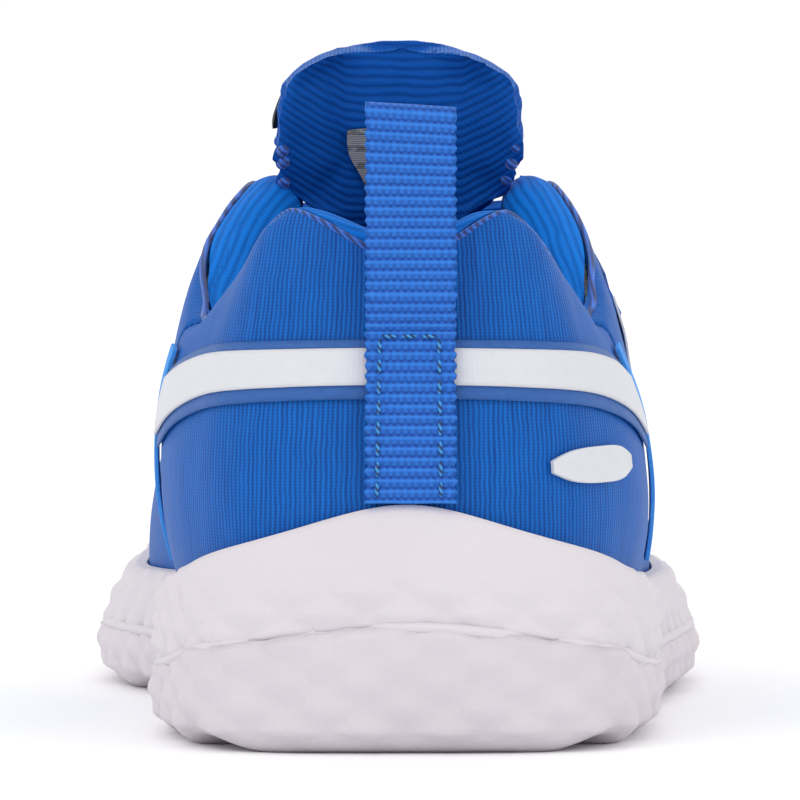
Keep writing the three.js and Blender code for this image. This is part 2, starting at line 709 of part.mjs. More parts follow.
const labelThickness = 0.3;
const labelFront = tongueBack + filmGap;
addMesh('tongue_label', slab(labelGrid(labelFront), labelGrid(labelFront + labelThickness)), labelGrey);

// ---------------------------------------------------------------- strap and laces
// A path across the throat from the inner side to the outer side at one station line.
const strapRear = 6.3;
const strapFront = 7.1;
const strapLow = 0.52;         // the strap's sewn end on the inner side
const strapEnd = 0.64;         // and its free end on the outer side
function crossing(station, wMedial, wLateral, rise, liftMedial, liftLateral) {
  const medial = steps(wMedial, 1, 3).map((w) => skin(stationCount - station, w, -liftMedial));
  const outer = steps(1, wLateral, 3).map((w) => skin(station, w, -liftLateral));
  const a = medial[medial.length - 1];
  const b = outer[0];
  const middle = a.clone().add(b).multiplyScalar(0.5);
  middle.z = tongueTopAt(middle.y) + rise;
  return new THREE.CatmullRomCurve3([...medial, middle, ...outer], false, 'centripetal');
}

// Height of the tongue's front face on its middle line.
function tongueTopAt(y) {
  let low = 0;
  let high = 1;
  for (let k = 0; k < 24; k += 1) {
    const mid = (low + high) / 2;
    if (tongueLine.getPoint(mid).y > y) low = mid;
    else high = mid;
  }
  return tongueLine.getPoint(low).z;
}

const strapLift = filmGap + overlayThickness + gap;
const strapLiftLateral = filmGap + loopThickness + patchClear + patchThickness + gap / 2;
const strapLines = steps(strapRear, strapFront, 3).map((s) => (
  crossing(s, strapLow, strapEnd, 2.6, strapLift, strapLiftLateral)));
function strapPoint(p, q, height) {
  const onStrap = (pp, qq) => {
    const f = THREE.MathUtils.clamp(qq, 0, 1) * (strapLines.length - 1);
    const k = Math.min(strapLines.length - 2, Math.floor(f));
    return strapLines[k].getPoint(THREE.MathUtils.clamp(pp, 0, 1)).lerp(
      strapLines[k + 1].getPoint(THREE.MathUtils.clamp(pp, 0, 1)), f - k);
  };
  const alongStrap = onStrap(p + 0.01, q).sub(onStrap(p - 0.01, q));
  const across = onStrap(p, q + 0.05).sub(onStrap(p, q - 0.05));
  return onStrap(p, q).addScaledVector(alongStrap.cross(across).normalize(), height);
}
function strapPiece(name, from, to, count, low, high, qFrom, qTo, material) {
  const grid = (height) => steps(from, to, count).map((p) => (
    steps(qFrom, qTo, 3).map((q) => strapPoint(p, q, height))));
  addMesh(name, slab(grid(high), grid(low)), material);
}
const strapHinge = 0.1;
strapPiece('strap_anchor', 0, strapHinge, 2, 0, strapThickness, 0, 1, webbingBlue);
strapPiece('strap', strapHinge + 0.012, 1, 22, 0, strapThickness, 0, 1, knitBlue);
strapPiece('strap_hook_patch', 0.81, 0.97, 4, -gap / 2 - patchThickness, -gap / 2, 0.08, 0.92, bandBlue);

// The loop patch stays on the quarter under the hooks.
const patchGrid = (height) => steps(strapRear + 0.04, strapFront - 0.04, 3).map((u) => (
  steps(strapEnd + 0.03, 0.78, 3).map((w) => skin(u, w, -height))));
addMesh('strap_loop_patch', slab(patchGrid(filmGap + loopThickness), patchGrid(filmGap)), bandBlue);

const laceFirst = 7.42;        // station of the rear lace, then one every laceStep
const laceStep = 0.37;
for (let k = 0; k < laceRows; k += 1) {
  const station = laceFirst + laceStep * k;
  const lines = [-1, 1].map((side) => (
    crossing(station + side * laceWidth / 36, 0.9, 0.9, 1.0, filmGap + overlayThickness + 0.3,
      filmGap + overlayThickness + 0.3)));
  const grid = (height) => steps(0, 1, 14).map((p) => lines.map((line) => {
    const spot = line.getPoint(p);
    const tangent = line.getTangent(p);
    const up = new THREE.Vector3(-tangent.z, 0, tangent.x).normalize();
    return spot.addScaledVector(up, height);
  }));
  addMesh(`elastic_lace_${k + 1}`, slab(grid(laceThickness), grid(0)), laceWhite);
}

// ---------------------------------------------------------------- the shoe's own frame
// The origin lies on the ground under the middle of the sole.
const bounds = new THREE.Box3().setFromObject(group);
const centre = bounds.getCenter(new THREE.Vector3());
group.position.set(-centre.x, -centre.y, 0);
group.updateMatrixWorld(true);

export default group;
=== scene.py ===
import math
import bmesh
import bpy
import numpy as np
from mathutils import Matrix, Vector, noise


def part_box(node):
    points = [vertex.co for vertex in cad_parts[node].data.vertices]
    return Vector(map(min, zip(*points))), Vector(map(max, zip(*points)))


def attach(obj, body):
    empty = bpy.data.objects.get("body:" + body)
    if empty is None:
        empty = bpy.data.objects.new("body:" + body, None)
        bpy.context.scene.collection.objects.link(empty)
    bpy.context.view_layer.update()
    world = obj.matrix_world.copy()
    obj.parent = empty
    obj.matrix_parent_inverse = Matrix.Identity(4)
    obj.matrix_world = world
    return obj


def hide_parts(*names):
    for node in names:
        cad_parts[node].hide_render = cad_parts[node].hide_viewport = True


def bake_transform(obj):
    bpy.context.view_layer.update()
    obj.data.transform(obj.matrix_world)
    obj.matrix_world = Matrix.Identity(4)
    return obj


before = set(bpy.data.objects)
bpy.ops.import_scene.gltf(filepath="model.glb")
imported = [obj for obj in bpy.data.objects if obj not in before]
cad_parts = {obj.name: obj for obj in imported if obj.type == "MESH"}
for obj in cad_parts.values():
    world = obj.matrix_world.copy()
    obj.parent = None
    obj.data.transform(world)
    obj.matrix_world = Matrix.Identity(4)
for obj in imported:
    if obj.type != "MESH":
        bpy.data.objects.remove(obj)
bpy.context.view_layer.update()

# ---------------------------------------------------------------- studio
# A plain pale floor under soft daylight from all round, one broad lamp high on the left
# behind the camera and a weaker one on the right. The camera looks at the heel.
scene = bpy.context.scene
scene.view_settings.view_transform = "Standard"

camera = bpy.data.objects.new("heel_camera", bpy.data.cameras.new("heel_camera"))
camera.data.sensor_width = 36
camera.data.lens = 486.5
camera.data.clip_end = 100
camera.location = (0.0003, -1.2325, 0.0942)
camera.rotation_euler = (math.radians(87.2), 0, 0)
scene.collection.objects.link(camera)
scene.camera = camera


def linear(red, green, blue):
    """A display colour of 0 to 255 per channel as the shader's linear colour."""
    parts = [v / 255 for v in (red, green, blue)]
    return tuple(v / 12.92 if v < 0.04045 else ((v + 0.055) / 1.055) ** 2.4 for v in parts) + (1.0,)


def new_material(name, roughness, **sockets):
    """A material and its main shader, with the numbers that are the same all over it."""
    material = bpy.data.materials.new(name)
    material.use_nodes = True
    shader = material.node_tree.nodes["Principled BSDF"]
    shader.inputs["Roughness"].default_value = roughness
    for socket, value in sockets.items():
        shader.inputs[socket.replace("_", " ")].default_value = value
    return material, material.node_tree, shader


def node(tree, kind, inputs=(), **settings):
    """Adds a node; inputs holds (socket, link or number) pairs."""
    made = tree.nodes.new(kind)
    for name, value in settings.items():
        setattr(made, name, value)
    for socket, value in inputs:
        if isinstance(value, bpy.types.NodeSocket):
            tree.links.new(value, made.inputs[socket])
        else:
            made.inputs[socket].default_value = value
    return made


def calc(tree, operation, a, b=0.0, c=0.0):
    """One Math node's result."""
    return node(tree, "ShaderNodeMath", [(0, a), (1, b), (2, c)], operation=operation).outputs[0]


def mixed(tree, factor, first, second):
    """A colour between two colours."""
    made = node(tree, "ShaderNodeMix", [(0, factor), (6, first), (7, second)], data_type="RGBA")
    return made.outputs[2]


def grain(tree, where, scale, detail=2.0, roughness=0.5):
    """Noise from 0 to 1 at a coordinate."""
    made = node(tree, "ShaderNodeTexNoise", [
        ("Vector", where), ("Scale", scale), ("Detail", detail), ("Roughness", roughness)])
    return made.outputs["Fac"]


def object_place(tree):
    """Coordinates of the shoe's own frame, in metres."""
    return node(tree, "ShaderNodeTexCoord").outputs["Object"]


def relief(tree, shader, height, depth, strength=1.0):
    """Bump on the shader, depth in metres."""
    made = node(tree, "ShaderNodeBump", [
        ("Strength", strength), ("Distance", depth), ("Height", height)])
    tree.links.new(made.outputs["Normal"], shader.inputs["Normal"])


def paint(tree, shader, colour):
    tree.links.new(colour, shader.inputs["Base Color"])


floor_paint, tree, shader = new_material("floor_paint", 0.9)
cloud = grain(tree, object_place(tree), 3.0)
paint(tree, shader, mixed(tree, cloud, linear(253, 253, 253), linear(254, 254, 255)))
bm = bmesh.new()
bmesh.ops.create_grid(bm, x_segments=1, y_segments=1, size=14)
floor_mesh = bpy.data.meshes.new("floor")
bm.to_mesh(floor_mesh)
bm.free()
floor = bpy.data.objects.new("floor", floor_mesh)
floor.data.materials.append(floor_paint)
scene.collection.objects.link(floor)

world = bpy.data.worlds.new("daylight")
world.use_nodes = True
world.node_tree.nodes["Background"].inputs["Color"].default_value = (1.0, 1.0, 1.0, 1.0)
world.node_tree.nodes["Background"].inputs["Strength"].default_value = 1.03
scene.world = world


def lamp(name, place, aim, size, power):
    """A soft square lamp that faces a point."""
    data = bpy.data.lights.new(name, "AREA")
    data.size = size
    data.energy = power
    made = bpy.data.objects.new(name, data)
    made.location = place
    made.rotation_euler = (Vector(aim) - Vector(place)).to_track_quat("-Z", "Y").to_euler()
    scene.collection.objects.link(made)


lamp("main_lamp", (-0.9, -1.3, 1.5), (0, -0.03, 0.03), 0.9, 6)
lamp("side_lamp", (1.3, -0.9, 0.9), (0, -0.03, 0.03), 0.9, 1.5)
lamp("toe_lamp", (0.2, 1.2, 1.3), (0, 0.02, 0.03), 1.0, 2)

# ---------------------------------------------------------------- tread
# The rubber tread is moulded with cross grooves and lugs and wraps up the lower edge of the
# foam. It is cemented under the midsole, and its side wall has shallow scale-shaped facets.


def merged_copy(*nodes):
    """The closed skin of one or more nodes, with quads where the triangles pair up."""
    made = bmesh.new()
    for name in nodes:
        made.from_mesh(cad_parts[name].data)
    bmesh.ops.remove_doubles(made, verts=made.verts, dist=2e-6)
    bmesh.ops.join_triangles(
        made, faces=made.faces, cmp_seam=False, cmp_sharp=False, cmp_uvs=False,
        cmp_vcols=False, cmp_materials=False,
        angle_face_threshold=math.radians(40), angle_shape_threshold=math.pi)
    return made


def object_of(made, name):
    """A new object from a bmesh."""
    mesh = bpy.data.meshes.new(name)
    made.to_mesh(mesh)
    made.free()
    built = bpy.data.objects.new(name, mesh)
    scene.collection.objects.link(built)
    return built


def points_of(mesh):
    flat = np.empty(len(mesh.vertices) * 3)
    mesh.vertices.foreach_get("co", flat)
    return flat.reshape(-1, 3)


def normals_of(mesh):
    flat = np.empty(len(mesh.vertices) * 3)
    mesh.vertex_normals.foreach_get("vector", flat)
    return flat.reshape(-1, 3)


def place_points(mesh, points):
    mesh.vertices.foreach_set("co", np.ascontiguousarray(points).ravel())
    mesh.update()


def baked(piece):
    """The piece with its modifiers applied."""
    bpy.context.view_layer.update()
    graph = bpy.context.evaluated_depsgraph_get()
    finished = bpy.data.meshes.new_from_object(piece.evaluated_get(graph))
    piece.modifiers.clear()
    old = piece.data
    piece.data = finished
    bpy.data.meshes.remove(old)
    return piece


def rounded(made, name, levels, sharp=50, crease=1.0):
    """Subdivides a bmesh so that its smooth skin still runs through the first points."""
    layer = made.edges.layers.float.new("crease_edge")
    for edge in made.edges:
        if len(edge.link_faces) == 2 and edge.calc_face_angle(0) > math.radians(sharp):
            edge[layer] = crease
    built = object_of(made, name)
    finer = built.modifiers.new("finer", "SUBSURF")
    finer.levels = finer.render_levels = levels
    target = points_of(built.data)
    for _ in range(3):
        bpy.context.view_layer.update()
        graph = bpy.context.evaluated_depsgraph_get()
        reached = points_of(built.evaluated_get(graph).data)[:len(target)]
        place_points(built.data, points_of(built.data) + (target - reached) * 0.9)
    baked(built)
    built.data.shade_smooth()
    built.data.set_sharp_from_angle(angle=math.radians(48))
    return built


def finish_piece(piece, body, slot, materials, *nodes):
    """Gives a piece its materials, hides the nodes it stands for and hangs it on the body it moves with,
    if any.
    """
    piece.data.materials.clear()
    for material in materials:
        piece.data.materials.append(material)
    if nodes:
        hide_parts(*nodes)
    if body:
        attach(piece, body)
    return piece


tread_rubber, tree, shader = new_material("tread_rubber", 0.62, Specular_IOR_Level=0.35)
place = object_place(tree)
speckle = grain(tree, place, 900, 3)
cloud = grain(tree, place, 60, 2)
paint(tree, shader, mixed(tree, cloud, linear(200, 192, 199), linear(218, 211, 217)))
relief(tree, shader, speckle, 0.00012)
scale_width = 0.0058
scale_height = 0.0050
scale_depth = 0.0009



def heel_chart(points):
    """Length along the wall from the heel's middle and height, in millimetres."""
    x, y = points[:, 0] - 0.001, points[:, 1] + 0.045
    turn = 0.026
    side = np.where(x < 0, -1.0, 1.0)
    run = np.where(y < 0, turn * np.arctan2(x, -y), side * (turn * math.pi / 2 + y))
    return np.c_[run, points[:, 2]] * 1000


def scales(points):
    """Height of the slanted diamond facets at each point, from 0 to 1."""
    chart = heel_chart(points) / 1000
    across = chart[:, 0] / scale_width
    up = chart[:, 1] / scale_height
    rising = np.abs((across + up) % 1 - 0.5) * 2
    falling = np.abs((across - up) % 1 - 0.5) * 2
    return np.minimum(rising, falling) * 0.75 + rising * 0.25


def smooth_between(value, low_end, high_end):
    f = np.clip((value - low_end) / (high_end - low_end), 0, 1)
    return f * f * (3 - 2 * f)


def faceted(piece, top):
    """Presses the scale pattern into the outward side wall, fading out below the top."""
    points = points_of(piece.data)
    normals = normals_of(piece.data)
    facing = smooth_between(np.hypot(normals[:, 0], normals[:, 1]), 0.55, 0.85)
    outward = (normals[:, 0] * (points[:, 0] - 0.001) + normals[:, 1] * (points[:, 1] + 0.02)) > 0
    zone = facing * outward * (1 - smooth_between(points[:, 2], top - 0.004, top))
    zone *= smooth_between(points[:, 2], 0.0006, 0.0030)
    place_points(piece.data, points + normals * (scales(points) * zone * scale_depth)[:, None])


tread = rounded(merged_copy("outsole"), "tread", 3, sharp=38, crease=0.75)
faceted(tread, 0.020)
points = points_of(tread.data)
points[:, 2] = np.maximum(points[:, 2], 0)
place_points(tread.data, points)
finish_piece(tread, "shoe", "tread_rubber", [tread_rubber], "outsole")

# ---------------------------------------------------------------- midsole
# One cup of moulded foam with a matt skin. The facets of the tread go on over its lower
# wall, and a thin parting bead covers the cemented joint between the two.
sole_foam, tree, shader = new_material(
    "sole_foam", 0.66, Specular_IOR_Level=0.3, Sheen_Weight=0.08, Sheen_Roughness=0.6)
place = object_place(tree)
height = node(tree, "ShaderNodeSeparateXYZ", [(0, place)]).outputs[2]
# Painted shade: the foam is painted darker towards the floor, over its lowest 12 mm, in noisy patches.
floor_shade_reach = node(tree, "ShaderNodeMapRange", [(0, height), (1, 0.0), (2, 0.012), (3, 1.0), (4, 0.0)]).outputs[0]
painted_floor_shade = calc(tree, "MULTIPLY", floor_shade_reach, grain(tree, place, 140, 4, 0.7))
skin_tone = mixed(tree, grain(tree, place, 35, 2), linear(208, 201, 207), linear(217, 211, 217))
paint(tree, shader, mixed(tree, calc(tree, "MULTIPLY", painted_floor_shade, 0.55), skin_tone, linear(186, 178, 186)))
relief(tree, shader, grain(tree, place, 1300, 3), 0.00007, 0.8)


midsole = rounded(merged_copy("midsole"), "midsole", 3, sharp=48)
faceted(midsole, 0.021)
finish_piece(midsole, "shoe", "sole_foam", [sole_foam], "midsole")


def tube(name, line, radius, closed=False):
    """A round cord along a line of points."""
    data = bpy.data.curves.new(name, "CURVE")
    data.dimensions = "3D"
    data.bevel_depth = radius
    data.bevel_resolution = 2
    data.use_fill_caps = True
    spline = data.splines.new("POLY")
    spline.points.add(len(line) - 1)
    spline.use_cyclic_u = closed
    for point, spot in zip(spline.points, line):
        point.co = (*spot, 1)
    curve = bpy.data.objects.new(name, data)
    scene.collection.objects.link(curve)
    bpy.context.view_layer.update()
    graph = bpy.context.evaluated_depsgraph_get()
    mesh = bpy.data.meshes.new_from_object(curve.evaluated_get(graph))
    bpy.data.objects.remove(curve)
    built = bpy.data.objects.new(name, mesh)
    scene.collection.objects.link(built)
    return built


bead_rise = 0.00025
bead_radius = 0.0006
rim_floor = 0.0055
rim = points_of(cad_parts["outsole"].data)
rim = rim[rim[:, 2] > rim_floor]
heading = np.arctan2(rim[:, 0] / 0.42, rim[:, 1])
parting = []
for angle in np.linspace(-math.pi, math.pi, 150, endpoint=False):
    near = rim[np.abs((heading - angle + math.pi) % (2 * math.pi) - math.pi) < 0.06]
    if not len(near):
        continue
    distance = np.hypot(near[:, 0], near[:, 1])
    outer = near[distance > distance.max() - 0.0011]
    parting.append(outer[np.argmax(outer[:, 2])])
parting = np.array(parting)
for _ in range(3):
    parting = (np.roll(parting, 1, 0) + 2 * parting + np.roll(parting, -1, 0)) / 4
parting[:, 2] += bead_rise
parting_bead = tube("parting_bead", parting, bead_radius, closed=True)
parting_bead.data.shade_smooth()
finish_piece(parting_bead, "shoe", "sole_foam", [sole_foam])

# ---------------------------------------------------------------- board, counter, puff, foam
# The pressed-fibre strobel board closes the upper below. A stiff counter cups the heel and a
# puff the toes, glued between shell and lining, and soft foam fills the collar.
pressed_board, tree, shader = new_material("pressed_board", 0.9)
place = object_place(tree)
fibre = grain(tree, place, 700, 4, 0.7)
paint(tree, shader, mixed(tree, fibre, linear(140, 137, 128), linear(188, 185, 176)))
relief(tree, shader, grain(tree, place, 500, 4), 0.0002)
for name in ("strobel_board", "heel_counter", "toe_puff"):
    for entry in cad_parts[name].material_slots:
        entry.material = pressed_board

open_foam, tree, shader = new_material("open_foam", 0.95)
place = object_place(tree)
cells = node(tree, "ShaderNodeTexVoronoi", [("Vector", place), ("Scale", 1600)]).outputs["Distance"]
paint(tree, shader, mixed(tree, cells, linear(196, 196, 190), linear(150, 150, 146)))
relief(tree, shader, cells, 0.0003)
for name in ("collar_foam", "tongue_top_pad"):
    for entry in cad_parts[name].material_slots:
        entry.material = open_foam

# ---------------------------------------------------------------- knitted shell
# Four panels of satin warp knit, heel panel, two quarters and vamp, bonded edge to edge and
# lasted over the board. The wales stand upright and the cloth puckers slightly when pulled.
wale_pitch = 0.42
course_pitch = 0.36
pucker_depth = 0.00022


def puckers(points):
    """The slow unevenness of lasted cloth at each point, in metres."""
    field = []
    for x, y, z in points:
        broad = noise.noise(Vector((x * 90, y * 90, z * 60)))
        small = noise.noise(Vector((x * 210, y * 210, z * 120)))
        field.append(broad + 0.5 * small)
    return np.array(field) * pucker_depth


def outward_from_last(points):
    """The way out of the shoe at each point, level with the ground."""
    lengthwise = np.minimum(points[:, 1] + 0.045, 0) + np.maximum(points[:, 1] - 0.02, 0)
    away = np.c_[points[:, 0] - 0.001, lengthwise, np.zeros(len(points))]
    length = np.maximum(np.linalg.norm(away, axis=1), 0.004)
    return away / length[:, None]


def pucker(piece):
    points = points_of(piece.data)
    place_points(piece.data, points + outward_from_last(points) * puckers(points)[:, None])


def chart_cloth(piece, chart):
    """Writes the piece's cloth coordinates, in millimetres, as its own UV map."""
    mesh = piece.data
    corners = np.empty(len(mesh.loops), np.int32)
    mesh.loops.foreach_get("vertex_index", corners)
    layer = mesh.uv_layers.new(name="cloth")
    layer.data.foreach_set("uv", chart[corners].astype(np.float32).ravel())


def cloth_place(tree):
    """The two cloth coordinates and both of them together."""
    both = node(tree, "ShaderNodeUVMap", uv_map="cloth").outputs[0]
    parts = node(tree, "ShaderNodeSeparateXYZ", [(0, both)])
    return parts.outputs[0], parts.outputs[1], both


def waves(tree, where, pitch, phase=0.0):
    """A wave from 0 to 1 with one crest for each pitch."""
    angle = calc(tree, "MULTIPLY_ADD", where, 2 * math.pi / pitch, phase)
    return calc(tree, "MULTIPLY_ADD", calc(tree, "SINE", angle), 0.5, 0.5)


def stretched(tree, both, across, up):
    """Cloth coordinates scaled differently across and up, for streaks."""
    return node(tree, "ShaderNodeMapping", [("Vector", both), ("Scale", (across, up, 1.0))]).outputs[0]


def knit_material(name, deep, pale, sheen):
    """Satin warp knit: upright wales of small loops with painted shade between the wales, and streaks
    that are partly brighter and duller yarns, partly painted highlights.
    """
    made, tree, shader = new_material(
        name, 0.5, Sheen_Weight=sheen, Sheen_Roughness=0.35, Specular_IOR_Level=0.17,
        Sheen_Tint=linear(60, 140, 255))
    across, up, both = cloth_place(tree)
    drift = calc(tree, "MULTIPLY_ADD", grain(tree, both, 0.35, 2), 0.35, across)
    wale = waves(tree, drift, wale_pitch)
    course = waves(tree, calc(tree, "MULTIPLY_ADD", wale, 0.12, up), course_pitch)
    loop = calc(tree, "MULTIPLY", wale, calc(tree, "MULTIPLY_ADD", course, 0.45, 0.55))
    # Streaks along the wales: partly random yarn tone, partly painted satin highlights.
    yarn = grain(tree, stretched(tree, both, 2.4, 0.12), 1.0, 3, 0.6)
    cloud = grain(tree, both, 0.12, 2)
    # The colour follows the loops' relief, darker in the hollows as painted shade; the streaks add yarn
    # tone and painted highlight.
    light = calc(tree, "MULTIPLY_ADD", loop, 0.62, calc(tree, "MULTIPLY_ADD", yarn, 0.6, -0.1))
    base = mixed(tree, node(tree, "ShaderNodeClamp", [(0, light)]).outputs[0], deep, pale)
    paint(tree, shader, mixed(tree, calc(tree, "MULTIPLY", cloud, 0.3), base, deep))
    relief(tree, shader, loop, 0.00006, 0.6)
    return made


knit_blue = knit_material("knit_blue", linear(0, 50, 122), linear(10, 122, 222), 0.06)
shell_panels = {}
for name, levels in (("heel_panel", 3), ("quarter_lateral", 2), ("quarter_medial", 2), ("vamp", 2)):
    panel = rounded(merged_copy(name), "knit_" + name, levels)
    pucker(panel)
    points = points_of(panel.data)
    chart = points[:, :2] * 1000 if name == "vamp" else heel_chart(points)
    chart_cloth(panel, chart)
    finish_piece(panel, "shoe", "knit", [knit_blue], name)
    shell_panels[name] = panel

# ---------------------------------------------------------------- ribbed lining
# Elastic rib fabric, with ribs that follow the topline about a millimetre apart. It rolls
# over the foam of the collar and is stitched to the shell, so that it swells between seams.
rib_pitch = 1.02
swell_cap = 0.0005
model_scale = 8.0


def puffed(piece, cap, held, pressure=4.0):
    """Swells a padded piece as cloth under pressure, held at its seams, by at most cap."""
    start = points_of(piece.data)
    group = piece.vertex_groups.new(name="held")
    for index in np.nonzero(held > 0.01)[0]:
        group.add([int(index)], float(held[index]), "REPLACE")
    place_points(piece.data, start * model_scale)
    cloth = piece.modifiers.new("cloth", "CLOTH")
    cloth.settings.vertex_group_mass = "held"
    cloth.settings.use_pressure = True
    cloth.settings.uniform_pressure_force = pressure
    cloth.settings.effector_weights.gravity = 0
    cloth.point_cache.frame_end = 20
    for step in range(1, 21):
        scene.frame_set(step)
    graph = bpy.context.evaluated_depsgraph_get()
    moved = points_of(piece.evaluated_get(graph).data) / model_scale
    piece.modifiers.remove(cloth)
    piece.vertex_groups.remove(group)
    scene.frame_set(1)
    shift = moved - start
    reach = np.maximum(np.linalg.norm(shift, axis=1), 1e-9)
    place_points(piece.data, start + shift * np.minimum(1, cap / reach)[:, None])


lining_nodes = ("heel_lining", "collar_lining_lateral", "collar_lining_medial", "vamp_lining")
linings = {}
for name in lining_nodes:
    linings[name] = rounded(merged_copy(name), "ribbed_" + name, 3 if name == "heel_lining" else 2)

# The topline is the highest line of the lining, kept as one smoothed chain of points.
crest_points = np.vstack([points_of(piece.data) for piece in linings.values()])
crest_run = heel_chart(crest_points)[:, 0]
stops = np.arange(-118, 118.1, 2.0)
crest = []
for stop in stops:
    near = np.abs(crest_run - stop) < 1.6
    if near.any():
        crest.append(crest_points[near][np.argmax(crest_points[near][:, 2])])
crest = np.array(crest)
crest[1:-1] = (crest[:-2] + 2 * crest[1:-1] + crest[2:]) / 4
crest[1:-1] = (crest[:-2] + 2 * crest[1:-1] + crest[2:]) / 4


def rim_distance(points):
    """How far each point is from the topline, in millimetres."""
    nearest = np.full(len(points), 1e9)
    for a, b in zip(crest[:-1], crest[1:]):
        way = b - a
        f = np.clip((points - a) @ way / (way @ way), 0, 1)
        gap = np.linalg.norm(points - a - f[:, None] * way, axis=1)
        nearest = np.minimum(nearest, gap)
    return nearest * 1000


def rib_material(name, deep, pale, sheen):
    """Rib fabric: round ribs along the first cloth coordinate, each a chain of small loops, with painted
    shade in the grooves between the ribs.
    """
    made, tree, shader = new_material(
        name, 0.72, Sheen_Weight=sheen, Sheen_Roughness=0.45, Specular_IOR_Level=0.12,
        Sheen_Tint=linear(60, 130, 255))
    along, over, both = cloth_place(tree)
    bent = calc(tree, "MULTIPLY_ADD", grain(tree, both, 0.22, 2), 0.7, over)
    rib = waves(tree, bent, rib_pitch)
    loop = waves(tree, calc(tree, "MULTIPLY_ADD", over, 0.6, along), 0.52)
    height = calc(tree, "MULTIPLY_ADD", loop, 0.16, calc(tree, "POWER", rib, 0.6))
    yarn = grain(tree, stretched(tree, both, 0.5, 3.2), 1.0, 3, 0.65)
    # The colour follows the relief height: darker in the grooves between ribs as painted shade, plus
    # random yarn tone.
    light = calc(tree, "MULTIPLY_ADD", height, 0.42, calc(tree, "MULTIPLY_ADD", yarn, 0.4, 0.0))
    paint(tree, shader, mixed(tree, node(tree, "ShaderNodeClamp", [(0, light)]).outputs[0], deep, pale))
    relief(tree, shader, height, 0.0002, 0.6)
    return made


# Two copies of one rib fabric: the first is painted darker as painted shade, for the sock and the
# tongue's inner side, and the second is painted brighter as painted light, for the collar linings.
rib_blue_painted_shade = rib_material("rib_blue_painted_shade", linear(0, 56, 126), linear(6, 90, 186), 0.05)
rib_blue_painted_light = rib_material("rib_blue_painted_light", linear(2, 80, 160), linear(14, 130, 232), 0.08)
for name, piece in linings.items():
    points = points_of(piece.data)
    centre_seam = smooth_between(rim_distance(points), 9, 15)
    puffed(piece, swell_cap, np.where(centre_seam > 0.5, 1.0, 0.0))
    pucker(piece)
    chart = heel_chart(points)
    chart_cloth(piece, np.c_[chart[:, 0], rim_distance(points)])
    # The linings take the brighter rib copy with painted light.
    finish_piece(piece, "shoe", "lining", [rib_blue_painted_light], name)

# ---------------------------------------------------------------- sockliner
# A removable foam sock under the foot, covered with the same rib fabric.
sock = rounded(merged_copy("sockliner"), "sock", 3)
points = points_of(sock.data)
edge = np.hypot(points[:, 0] / 0.018, 0)
points[:, 2] -= 0.0006 * (1 - smooth_between(edge, 0.1, 0.9)) * (points[:, 2] > 0.012)
place_points(sock.data, points)
chart_cloth(sock, points[:, :2] * 1000)
# The sock takes the darker rib copy with painted shade.
finish_piece(sock, "sock", "lining", [rib_blue_painted_shade], "sockliner")

# ---------------------------------------------------------------- tongue
# A thick foam tongue under satin knit, lined with rib fabric towards the foot, its edges
# overlocked. It is sewn in at the front of the throat.
tongue_nodes = (
    "tongue_lower_shell", "tongue_lower_lining", "tongue_top_shell", "tongue_top_pad",
    "tongue_top_lining")
layer_swell = 0.00035
voxel = 0.0009
fold_left = -0.0062
fold_right = 0.0077


def largest_part(made):
    """Leaves only the biggest connected body of a bmesh."""
    unseen = set(made.verts)
    best = []
    while unseen:
        part = [unseen.pop()]
        for vertex in part:
            for edge in vertex.link_edges:
                other = edge.other_vert(vertex)
                if other in unseen:
                    unseen.remove(other)
                    part.append(other)
        if len(part) > len(best):
            best = part
    keep = set(best)
    bmesh.ops.delete(made, geom=[v for v in made.verts if v not in keep], context="VERTS")


made = merged_copy(*tongue_nodes)
made.normal_update()
for vertex in made.verts:
    vertex.co += vertex.normal * layer_swell
tongue = object_of(made, "tongue")
remesh = tongue.modifiers.new("one_skin", "REMESH")
remesh.mode = "VOXEL"
remesh.voxel_size = voxel
baked(tongue)
made = bmesh.new()
made.from_mesh(tongue.data)
largest_part(made)
for _ in range(5):
    bmesh.ops.smooth_vert(
        made, verts=made.verts, factor=0.5, use_axis_x=True, use_axis_y=True, use_axis_z=True)
made.normal_update()
for vertex in made.verts:
    vertex.co -= vertex.normal * (layer_swell - 0.0001)
made.to_mesh(tongue.data)
made.free()
points = points_of(tongue.data)
puffed(tongue, 0.0007, np.where(points[:, 2] < 0.052, 1.0, 0.0))
finer = tongue.modifiers.new("finer", "SUBSURF")
finer.levels = finer.render_levels = 1
baked(tongue)
points = points_of(tongue.data)
normals = normals_of(tongue.data)
inner_side = smooth_between(-normals[:, 1], 0.2, 0.6)
risen = smooth_between(points[:, 2], 0.056, 0.061) * (1 - smooth_between(points[:, 2], 0.0725, 0.0745))
groove = np.exp(-((points[:, 0] - fold_left) / 0.0011) ** 2) * 0.0011
groove += np.exp(-((points[:, 0] - fold_right) / 0.0019) ** 2) * 0.0008
between = smooth_between(points[:, 0], fold_left, fold_left + 0.002)
between *= 1 - smooth_between(points[:, 0], fold_right - 0.003, fold_right)
points[:, 1] += (groove + 0.0007 * between) * inner_side * risen
levels = np.arange(0.052, 0.070, 0.001)
widths = np.array([np.abs(points[np.abs(points[:, 2] - z) < 0.0008][:, 0]).max() for z in levels])
wanted = np.maximum(widths, widths + (0.0141 - widths) * smooth_between(levels, 0.0555, 0.0590))
points[:, 0] *= np.interp(points[:, 2], levels, wanted / widths)
points[:, 2] += 0.0008 * smooth_between(points[:, 2], 0.066, 0.074)
place_points(tongue.data, points)
tongue.data.shade_smooth()
off_centre = np.abs(points[:, 0] - 0.0007) * 1000
rib_rise = points[:, 2] * 1000 + points[:, 1] * -200
rib_rise = rib_rise - 0.55 * np.maximum(off_centre - 6.5, 0) - 0.012 * off_centre ** 2
